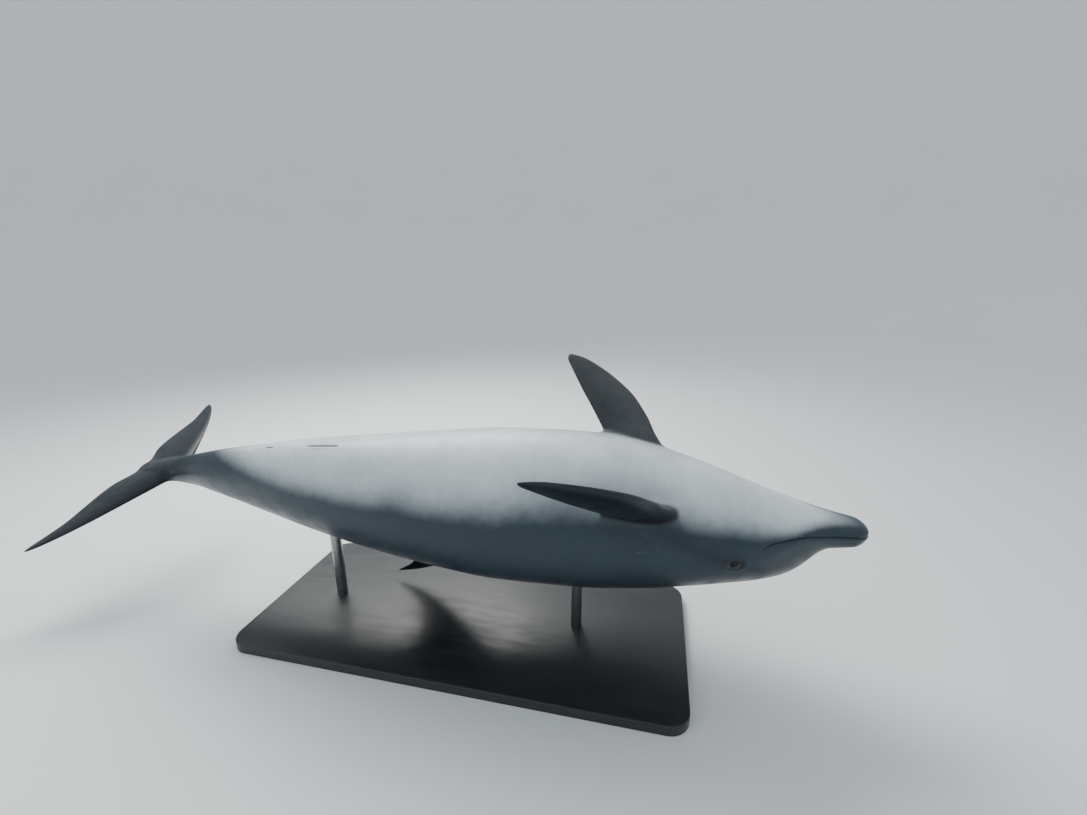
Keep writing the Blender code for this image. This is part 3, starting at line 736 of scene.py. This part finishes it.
def bridle_field(station, angle):
    """How far a point lies in the dark bands, from 0 to 1: a bell curve across each line."""
    girth = math.pi * BODY_LENGTH * HEAD_WIDTH
    folded = near_angle(np.where(np.cos(angle) >= 0, angle, math.pi - angle), 0.0)
    field = np.zeros(np.shape(station))
    for start_s, start_a, end_s, end_a, width in BRIDLE:
        start = np.array([start_s / 100 * BODY_LENGTH, start_a / 360 * girth])
        run = np.array([end_s / 100 * BODY_LENGTH, end_a / 360 * girth]) - start
        east, north = station * BODY_LENGTH - start[0], folded / math.tau * girth - start[1]
        along = np.clip((east * run[0] + north * run[1]) / max(run @ run, 1e-9), 0, 1)
        off = np.hypot(east - along * run[0], north - along * run[1])
        field = np.maximum(field, np.exp(-(off / width) ** 2) * (1 - BRIDLE_FADE * along))
    return field


def ring_faces(rings):
    """Four-sided faces between rings of point numbers, each ring closed on itself."""
    onward = np.roll(rings, -1, axis=1)
    return np.stack([rings[:-1], rings[1:], onward[1:], onward[:-1]], axis=-1).reshape(-1, 4)


def cap_faces(pole, ring):
    """Three-sided faces from a pole to a closed ring of point numbers."""
    return np.stack([np.full(len(ring), pole), ring, np.roll(ring, -1)], axis=-1)


def smooth_piece(name, points, faces, fields):
    """Smooth-shaded object at the origin; each field is a value kept at every point."""
    mesh = bpy.data.meshes.new(name)
    mesh.from_pydata(points.tolist(), [], faces)
    for field, values in fields.items():
        layer = mesh.attributes.new(field, "FLOAT", "POINT")
        layer.data.foreach_set("value", values.astype(np.float32))
    mesh.polygons.foreach_set("use_smooth", np.ones(len(mesh.polygons), bool))
    mesh.update()
    piece = bpy.data.objects.new(name, mesh)
    bpy.context.scene.collection.objects.link(piece)
    return piece


def build_skin():
    """Joins the grid, less its openings, to the rings grown from them and to both end poles."""
    index = np.arange(grid_s.size).reshape(grid_s.shape)
    whole = np.ones((len(ROWS) - 1, COLUMNS), bool)
    for name in OPENINGS:
        top, low, first, last = opening_cells(name)
        whole[top:low, np.arange(first, last) % COLUMNS] = False
    quads = [ring_faces(index)[whole.ravel()]]
    triangles = []
    # Patches of points, station, angle, fin and crease, the mask of painted shade: the grid, each
    # opening, the poles.
    # The mouth's groove carries painted shade, fading out toward the very tip of the snout.
    groove_shade = groove * np.clip(grid_s / GROOVE_SHADE_FROM, 0, 1)
    patches = [(grid_p, grid_s, grid_a, np.zeros(grid_s.shape), groove_shade)]
    total = grid_s.size
    for name in OPENINGS:
        grow = fin_rings if name in FINS else slit_rings if name in SLITS else eye_rings
        patches.append(grow(name))
        count = patches[-1][0].shape[1]
        numbers = total + np.arange(patches[-1][1].size).reshape(-1, count)
        chain = np.concatenate([index[opening_loop(name)][None, :], numbers])
        quads.append(ring_faces(chain))
        tip = chain[-1]
        half = count // 2
        i = np.arange(1, half - 1)
        quads.append(np.stack([tip[i], tip[count - i], tip[count - i - 1], tip[i + 1]], axis=-1))
        triangles.append([[tip[0], tip[-1], tip[1]], [tip[half - 1], tip[half + 1], tip[half]]])
        total += numbers.size
    ends, zeros = np.array([0.0, 1.0]), np.zeros(2)
    patches.append((body_point(ends, zeros), ends, zeros, zeros, zeros))
    triangles.append(cap_faces(total, index[0]))
    triangles.append(cap_faces(total + 1, index[-1])[:, ::-1])

    points = np.concatenate([patch[0].reshape(-1, 3) for patch in patches])
    station, angle, fin, crease = (
        np.concatenate([patch[k].ravel() for patch in patches]) for k in (1, 2, 3, 4))
    belly = -np.sin(angle)
    fields = {
        "station": station, "belly": belly, "fin": fin, "crease": crease,
        "pale": belly - smooth_table(PALE_EDGE, 1, station), "bridle": bridle_field(station, angle)}
    quads, triangles = np.concatenate(quads), np.concatenate(triangles)
    used = np.zeros(len(points), bool)
    used[quads.ravel()] = True
    used[triangles.ravel()] = True
    renumber = np.cumsum(used) - 1
    faces = renumber[quads].tolist() + renumber[triangles].tolist()
    fields = {field: values[used] for field, values in fields.items()}
    piece = smooth_piece("skin", points[used], faces, fields)
    smooth = piece.modifiers.new("smooth", "SUBSURF")
    smooth.levels = smooth.render_levels = 1
    return piece


def linear(code):
    """sRGB hex to linear red, green, blue and full alpha, by the standard curve."""
    parts = [int(code[i:i + 2], 16) / 255 for i in (1, 3, 5)]
    return tuple(c / 12.92 if c <= 0.04045 else ((c + 0.055) / 1.055) ** 2.4 for c in parts) + (1.0,)


def add_node(tree, kind, sockets=None, out=0, **settings):
    """Adds a node and gives one of its outputs.

    Sockets are input values, or outputs of other nodes to link; settings are the node's options.
    """
    made = tree.nodes.new("ShaderNode" + kind)
    for option, value in settings.items():
        setattr(made, option, value)
    for socket, value in (sockets or {}).items():
        if isinstance(value, bpy.types.NodeSocket):
            tree.links.new(value, made.inputs[socket])
        else:
            made.inputs[socket].default_value = value
    return made.outputs[out] if made.outputs else made


def per_metre(mm):
    """Noise scale, in features to the metre, for features of a size in mm."""
    return 1000 / mm


def material_of(name, finish):
    """Material whose nodes finish(add, place) adds, up to its shader.

    Its add is add_node for this tree, and place is a point in the object's own axes.
    """
    material = bpy.data.materials.new(name)
    material.use_nodes = True
    material.node_tree.nodes.clear()
    add = functools.partial(add_node, material.node_tree)
    add("OutputMaterial", {"Surface": finish(add, add("TexCoord", out="Object"))})
    return material


# Countershading. The back and flank are darker than a living dolphin's: their own colour, deepened with
# painted shade, as the animal lies belly up with its back away from the light.
BACK_COLOUR_WITH_SHADE = linear("#1d242b")
FLANK_COLOUR_WITH_SHADE = linear("#38434c")
BELLY_COLOUR = linear("#cbd4d8")
FIN_COLOUR = linear("#12181e")
# Painted shade for the mouth's groove, the slits, the lids' edge and the socket.
CREASE_SHADE_COLOUR = linear("#15181b")
SCAR_COLOUR = linear("#8b969d")
# Map Range sockets: 0 the value, 1 and 2 its range, 3 and 4 the new range (0 to 1 if not
# given). Mix sockets: 0 the share, 6 and 7 the colours.
SOFT = {"interpolation_type": "SMOOTHSTEP"}     # eases a Map Range at both ends
COLOURS = {"data_type": "RGBA", "out": 2}       # makes a Mix blend colours


def dolphin_skin(add, place):
    """Smooth, wet-looking dolphin skin, hairless and countershaded.

    Gives the eye a dark back, a grey flank and a pale underside that run into each other in
    soft, uneven edges, with faint mottling, healed tooth rakes and a satin sheen. The back and
    flank are the animal's own countershading, deepened with painted shade, and the grooves,
    slits and lids carry painted shade.
    """
    station, belly, on_fin, crease_shade_field, pale_side, bands = (
        add("Attribute", out="Fac", attribute_name=field)
        for field in ("station", "belly", "fin", "crease", "pale", "bridle"))
    # Noise patterns: the size of their features in mm, and how much finer detail they carry.
    # Real skin grain is under half a millimetre, and is drawn as coarse as it needs to show.
    broad, fine, freckle, scatter, swell, grain, film = (
        add("TexNoise", {"Vector": place, "Scale": per_metre(mm), "Detail": detail})
        for mm, detail in (
            (154, 3.0), (25, 4.0), (18, 3.0), (294, 2.0), (200, 2.0), (2.4, 2.0), (45, 4.0)))

    # Countershading: the broad noise makes the edges wander, the fine one frays them.
    wander = add("MapRange", {0: broad, 1: 0.25, 2: 0.75, 3: -0.045, 4: 0.045})
    fray = add("MapRange", {0: fine, 1: 0.25, 2: 0.75, 3: -0.012, 4: 0.012})
    ragged = add("Math", {0: wander, 1: fray}, operation="ADD")
    pale_edge = add("Math", {0: pale_side, 1: ragged}, operation="ADD")
    pale = add("MapRange", {0: pale_edge, 1: -0.20, 2: 0.24}, **SOFT)
    cape_edge = add("Math", {0: belly, 1: ragged}, operation="ADD")
    cape = add("MapRange", {0: cape_edge, 1: 0.05, 2: -0.75}, **SOFT)
    # Back and flank tones: the animal's own, deepened with painted shade.
    colour = add("Mix", {0: cape, 6: FLANK_COLOUR_WITH_SHADE, 7: BACK_COLOUR_WITH_SHADE}, **COLOURS)
    colour = add("Mix", {0: pale, 6: colour, 7: BELLY_COLOUR}, **COLOURS)
    tail_dark = add("MapRange", {0: station, 1: 0.80, 2: 0.94}, **SOFT)
    fin_dark = add("Math", {0: on_fin, 1: tail_dark}, operation="MAXIMUM")
    fin_share = add("Math", {0: fin_dark, 1: 0.92}, operation="MULTIPLY")
    colour = add("Mix", {0: fin_share, 6: colour, 7: FIN_COLOUR}, **COLOURS)
    band_share = add("Math", {0: bands, 1: 0.55}, operation="MULTIPLY")
    colour = add("Mix", {0: band_share, 6: colour, 7: BACK_COLOUR_WITH_SHADE}, **COLOURS)

    # Mottling: clouds a hand wide and thumbnail freckles lift and lower the shade a little.
    cloud = add("TexNoise", {"Vector": place, "Scale": per_metre(125), "Detail": 5.0, "Roughness": 0.6})
    clouds = add("MapRange", {0: cloud, 1: 0.3, 2: 0.7, 3: 0.93, 4: 1.06}, **SOFT)
    freckles = add("MapRange", {0: freckle, 1: 0.35, 2: 0.65, 3: 0.97, 4: 1.03}, **SOFT)
    shade = add("Math", {0: clouds, 1: freckles}, operation="MULTIPLY")
    grey = add("CombineColor", {0: shade, 1: shade, 2: shade})
    colour = add("Mix", {0: 1.0, 6: colour, 7: grey}, blend_type="MULTIPLY", **COLOURS)

    # Healed rakes: patches of thin parallel lines, as far apart as other dolphins' teeth.
    slant = add("Mapping", {"Vector": place, "Rotation": (0.5, 0.9, 0.35),
                            "Scale": (per_metre(185), per_metre(8), per_metre(8))})
    streak = add("TexNoise", {"Vector": slant, "Scale": 1.0, "Detail": 2.0})
    line = add("MapRange", {0: streak, 1: 0.63, 2: 0.69}, **SOFT)
    patch = add("MapRange", {0: scatter, 1: 0.55, 2: 0.66, 4: 0.20}, **SOFT)
    rake = add("Math", {0: line, 1: patch}, operation="MULTIPLY")
    colour = add("Mix", {0: rake, 6: colour, 7: SCAR_COLOUR}, **COLOURS)
    # Painted shade in the mouth's groove, along the slits and at the eyes' lids.
    crease = add("MapRange", {0: crease_shade_field, 1: 0.25, 2: 0.95, 4: 0.85}, **SOFT)
    colour = add("Mix", {0: crease, 6: colour, 7: CREASE_SHADE_COLOUR}, **COLOURS)

    # Relief: soft blubber swells, fine ripples square to the body, and skin grain.
    relief = add("Bump", {"Height": swell, "Strength": 0.35, "Distance": 0.010})
    squeezed = add("Mapping", {"Vector": place,
                               "Scale": (per_metre(6.7), per_metre(33), per_metre(33))})
    ripple = add("TexNoise", {"Vector": squeezed, "Scale": 1.0, "Detail": 2.0})
    relief = add("Bump", {"Height": ripple, "Strength": 0.20, "Distance": 0.0012, "Normal": relief})
    relief = add("Bump", {"Height": grain, "Strength": 0.25, "Distance": 0.0003, "Normal": relief})
    satin = add("MapRange", {0: film, 1: 0.3, 2: 0.7, 3: 0.30, 4: 0.43}, **SOFT)
    return add("BsdfPrincipled", {
        "Base Color": colour, "Roughness": satin, "Normal": relief, "IOR": 1.36,
        "Specular IOR Level": 0.32, "Coat Weight": 0.06, "Coat Roughness": 0.20,
        "Coat IOR": 1.36})


skin = build_skin()
skin.data.materials.append(material_of("dolphin_skin_smooth", dolphin_skin))
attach(skin, "root")
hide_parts("head", "lower_jaw", "neck", "chest", "abdomen", "tail_stock", "dorsal_fin",
            "flipper_left", "flipper_right", "fluke_left", "fluke_right")

# ---------------- eyes
# A museum eye is a blown glass shell, painted behind: dark brown iris, and the dolphin's
# pupil, a wide oval with a lobe of iris let down into it from above. The lids hold it.
IRIS_MM, PUPIL_LONG_MM, PUPIL_HIGH_MM = 8.2, 5.0, 3.3
LOBE_LONG_MM, LOBE_HIGH_MM, LOBE_UP_MM = 2.9, 2.4, 2.6
EYE_RINGS, EYE_SIDES = 40, 64
CORNEA_BULGE, CORNEA_HALF_ANGLE = 0.0003, 0.6       # metres, and radians off the line of sight


def laid_flat(axis, normal):
    """Unit vector along an axis, laid into the surface that has this normal."""
    flat = axis - normal * (axis @ normal)
    return flat / np.linalg.norm(flat)


def eyeball(name):
    """Sphere of rings about the line of sight, with distances from its middle in mm kept."""
    station, _, _, normal, middle = eye_place(name)
    axes = spine_at(station)[1]
    forward, up = laid_flat(axes[:, 0], normal), laid_flat(axes[:, 2], normal)
    polar = (np.arange(1, EYE_RINGS) * math.pi / EYE_RINGS)[:, None]
    turn = (np.arange(EYE_SIDES) * math.tau / EYE_SIDES)[None, :]
    radius = EYE_RADIUS + CORNEA_BULGE * (1 - ease(polar / CORNEA_HALF_ANGLE))
    across = np.sin(polar) * radius
    ahead, high = across * np.cos(turn), across * np.sin(turn)
    ball = (middle + normal * (np.cos(polar) * radius * np.ones_like(turn))[..., None]
            + forward * ahead[..., None] + up * high[..., None])
    poles = np.stack([middle + normal * (EYE_RADIUS + CORNEA_BULGE), middle - normal * EYE_RADIUS])
    index = np.arange(ahead.size).reshape(ahead.shape)
    faces = ring_faces(index).tolist() + cap_faces(index.size, index[0]).tolist()
    faces += cap_faces(index.size + 1, index[-1])[:, ::-1].tolist()
    if name.endswith("left"):
        faces = [face[::-1] for face in faces]
    points = np.concatenate([ball.reshape(-1, 3), poles])
    fields = {"eye_ahead": ahead, "eye_up": high}
    fields = {field: np.append(values, [0.0, 0.0]) * 1000 for field, values in fields.items()}
    return smooth_piece(name, points, faces, fields)


def glass_eye(add, place):
    """Blown glass, painted behind and polished.

    Gives a wet black pupil in a dark brown, faintly streaked iris, and sharp highlights.
    """
    ahead, high = (
        add("Attribute", out="Fac", attribute_name=field) for field in ("eye_ahead", "eye_up"))
    flat = add("CombineXYZ", {0: ahead, 1: high})
    out_mm = add("VectorMath", {0: flat}, out="Value", operation="LENGTH")
    streak = add("TexNoise", {"Vector": place, "Scale": per_metre(1.1), "Detail": 3.0})
    iris = add("Mix", {0: streak, 6: linear("#15100d"), 7: linear("#2a201a")}, **COLOURS)
    rim = add("MapRange", {0: out_mm, 1: IRIS_MM - 1.6, 2: IRIS_MM}, **SOFT)
    colour = add("Mix", {0: rim, 6: iris, 7: linear("#0a0807")}, **COLOURS)
    beyond = add("MapRange", {0: out_mm, 1: IRIS_MM + 0.2, 2: IRIS_MM + 2.4}, **SOFT)
    colour = add("Mix", {0: beyond, 6: colour, 7: linear("#1c1918")}, **COLOURS)
    oval = add("VectorMath", {0: flat, 1: (1 / PUPIL_LONG_MM, 1 / PUPIL_HIGH_MM, 0.0)},
               operation="MULTIPLY")
    oval_out = add("VectorMath", {0: oval}, out="Value", operation="LENGTH")
    pupil = add("MapRange", {0: oval_out, 1: 1.06, 2: 0.94}, **SOFT)
    lowered = add("VectorMath", {0: flat, 1: (0.0, -LOBE_UP_MM, 0.0)}, operation="ADD")
    lobe = add("VectorMath", {0: lowered, 1: (1 / LOBE_LONG_MM, 1 / LOBE_HIGH_MM, 0.0)},
               operation="MULTIPLY")
    lobe_out = add("VectorMath", {0: lobe}, out="Value", operation="LENGTH")
    clear_of_lobe = add("MapRange", {0: lobe_out, 1: 0.92, 2: 1.08}, **SOFT)
    black = add("Math", {0: pupil, 1: clear_of_lobe}, operation="MULTIPLY")
    colour = add("Mix", {0: black, 6: colour, 7: linear("#040405")}, **COLOURS)
    film = add("TexNoise", {"Vector": place, "Scale": per_metre(3.3), "Detail": 2.0})
    polish = add("MapRange", {0: film, 1: 0.3, 2: 0.7, 3: 0.04, 4: 0.09})
    return add("BsdfPrincipled", {
        "Base Color": colour, "Roughness": polish, "IOR": 1.40})


eye_material = material_of("glass_eye_painted", glass_eye)
for side in ("left", "right"):
    eye = eyeball("glass_eye_" + side)
    eye.data.materials.append(eye_material)
    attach(eye, "root")
    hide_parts("eye_" + side)

# ---------------- stand base
# A flat board of medium density fibreboard, edges rounded over, sprayed with satin black
# lacquer. It keeps its own solid and only takes this finish.
def lacquered_board(add, place):
    """Sprayed satin lacquer on fibreboard: deep soft black, faint orange peel and dust."""
    cloud = add("TexNoise", {"Vector": place, "Scale": per_metre(140), "Detail": 4.0})
    colour = add("Mix", {0: cloud, 6: linear("#1b1d1f"), 7: linear("#25282b")}, **COLOURS)
    speck = add("TexNoise", {"Vector": place, "Scale": per_metre(1.1), "Detail": 1.0})
    dust = add("MapRange", {0: speck, 1: 0.70, 2: 0.80, 4: 0.25}, **SOFT)
    colour = add("Mix", {0: dust, 6: colour, 7: linear("#6f7274")}, **COLOURS)
    wipe = add("Mapping", {"Vector": place,
                           "Scale": (per_metre(125), per_metre(28), per_metre(28))})
    smear = add("TexNoise", {"Vector": wipe, "Scale": 1.0, "Detail": 4.0})
    satin = add("MapRange", {0: smear, 1: 0.3, 2: 0.7, 3: 0.34, 4: 0.46}, **SOFT)
    peel = add("TexNoise", {"Vector": place, "Scale": per_metre(3.8), "Detail": 2.0})
    relief = add("Bump", {"Height": peel, "Strength": 0.18, "Distance": 0.0006})
    return add("BsdfPrincipled", {
        "Base Color": colour, "Roughness": satin, "Normal": relief, "IOR": 1.5,
        "Coat Weight": 0.15, "Coat Roughness": 0.25})


frame["nodes"]["stand_base"].data.materials[0] = material_of("lacquered_fibreboard", lacquered_board)

# ---------------- stand rods
# Two lengths of round stainless bar, brushed round and round on a lathe, stood on the board
# and cut to the shape of the animal's back at the top.
def brushed_bar(add, place):
    """Lathe-brushed stainless steel: fine rings round the bar that streak its highlights.

    The rings are drawn farther apart than a real brush leaves them, so that they show.
    """
    rings = add("Mapping", {"Vector": place,
                            "Scale": (per_metre(167), per_metre(167), per_metre(0.7))})
    ring = add("TexNoise", {"Vector": rings, "Scale": 1.0, "Detail": 3.0})
    colour = add("Mix", {0: ring, 6: linear("#8d9092"), 7: linear("#b7babc")}, **COLOURS)
    brushed = add("MapRange", {0: ring, 1: 0.3, 2: 0.7, 3: 0.24, 4: 0.38}, **SOFT)
    relief = add("Bump", {"Height": ring, "Strength": 0.15, "Distance": 0.0002})
    return add("BsdfPrincipled", {
        "Base Color": colour, "Metallic": 1.0, "Roughness": brushed, "Normal": relief})


steel = material_of("stainless_bar_brushed", brushed_bar)
for rod in ("stand_rod_front", "stand_rod_rear"):
    frame["nodes"][rod].data.materials[0] = steel

# ---------------- floor
# A plain pale studio floor that sweeps up all round into a leaning wall, so every side has
# the same calm ground. It is not part of the model.
FLOOR_RADIUS, SWEEP_RADIUS, WALL_HEIGHT = 9.0, 6.0, 26.0
WALL_LEAN = 55              # degrees up from level: a leaning wall catches the sky's light
FLOOR_SIDES, SWEEP_STEPS = 96, 25
INNER_RINGS = (1.0, 5.0)    # radii of two more rings in the flat


def studio_floor():
    """Bowl: a flat disc, a round sweep and a straight wall, turned about the upright axis."""
    sweep = np.linspace(0, math.radians(WALL_LEAN), SWEEP_STEPS)
    radius = FLOOR_RADIUS + SWEEP_RADIUS * np.sin(sweep)
    height = SWEEP_RADIUS * (1 - np.cos(sweep))
    run = WALL_HEIGHT / math.tan(sweep[-1])
    radius = np.concatenate([INNER_RINGS, radius, [radius[-1] + run]])[:, None]
    height = np.concatenate([[0.0, 0.0], height, [height[-1] + WALL_HEIGHT]])[:, None]
    turn = (np.arange(FLOOR_SIDES) * math.tau / FLOOR_SIDES)[None, :]
    bowl = np.stack(np.broadcast_arrays(radius * np.cos(turn), radius * np.sin(turn), height), axis=-1)
    index = np.arange(bowl.size // 3).reshape(-1, FLOOR_SIDES)
    faces = ring_faces(index).tolist() + cap_faces(index.size, index[0]).tolist()
    points = np.concatenate([bowl.reshape(-1, 3), [[0.0, 0.0, 0.0]]])
    return smooth_piece("studio_floor", points, faces, {})


def studio_paper(add, place):
    """Matt pale paper, with a trace of tooth so that the floor is not dead flat."""
    cloud = add("TexNoise", {"Vector": place, "Scale": per_metre(1250), "Detail": 3.0})
    colour = add("Mix", {0: cloud, 6: linear("#e2e5e6"), 7: linear("#e8eaeb")}, **COLOURS)
    return add("BsdfPrincipled", {"Base Color": colour, "Roughness": 0.85})


floor = studio_floor()
floor.data.materials.append(material_of("studio_paper_matt", studio_paper))

# ---------------- light
# A large soft key overhead, behind and toward the tail, as daylight comes down through
# water, with a weak fill from the viewer's side and even light from all round.
LIGHTS = (          # name, place, size, watts, colour
    ("key", (-1.4, 1.7, 3.0), (2.6, 1.7), 170.0, (1.0, 0.985, 0.96)),
    ("fill", (-2.4, -2.6, 1.8), (2.0, 1.4), 8.0, (0.95, 0.98, 1.0)),
)
AIM = Vector((0.0, 0.0, 0.45))
for name, place, size, watts, tint in LIGHTS:
    lamp = bpy.data.lights.new(name, "AREA")
    lamp.shape = "RECTANGLE"
    lamp.size, lamp.size_y = size
    lamp.energy = watts
    lamp.color = tint
    light = bpy.data.objects.new(name, lamp)
    light.location = place
    light.rotation_euler = (AIM - light.location).to_track_quat("-Z", "Y").to_euler()
    light.visible_camera = False
    bpy.context.scene.collection.objects.link(light)
world = bpy.data.worlds.new("studio_air")
world.use_nodes = True
sky = world.node_tree.nodes["Background"]
sky.inputs["Color"].default_value = linear("#dfe6ea")
sky.inputs["Strength"].default_value = 1.1
bpy.context.scene.world = world

# ---------------- camera
# A wide lens near the model and a little above it, looking down. It stands on the side of
# the animal's left flank, toward the head.
CAMERA_TURN, CAMERA_TILT = 12.6, 16.16          # degrees: about upright, and below level
CAMERA_ACROSS, CAMERA_AWAY, CAMERA_ABOVE = 0.103, 1.342, 0.65   # from the body's middle
CAMERA_LENS, CAMERA_FILM = 16.21, 36.0          # mm
lens = bpy.data.cameras.new("camera")
lens.lens, lens.sensor_width = CAMERA_LENS, CAMERA_FILM
camera = bpy.data.objects.new("camera", lens)
heading = math.radians(CAMERA_TURN)
ahead = np.array([-math.sin(heading), math.cos(heading), 0.0])
right = np.array([math.cos(heading), math.sin(heading), 0.0])
spot = np.array(MID_POINT) + right * CAMERA_ACROSS - ahead * CAMERA_AWAY
camera.location = (spot[0], spot[1], spot[2] + CAMERA_ABOVE)
camera.rotation_euler = (math.radians(90 - CAMERA_TILT), 0.0, heading)
bpy.context.scene.collection.objects.link(camera)
bpy.context.scene.camera = camera
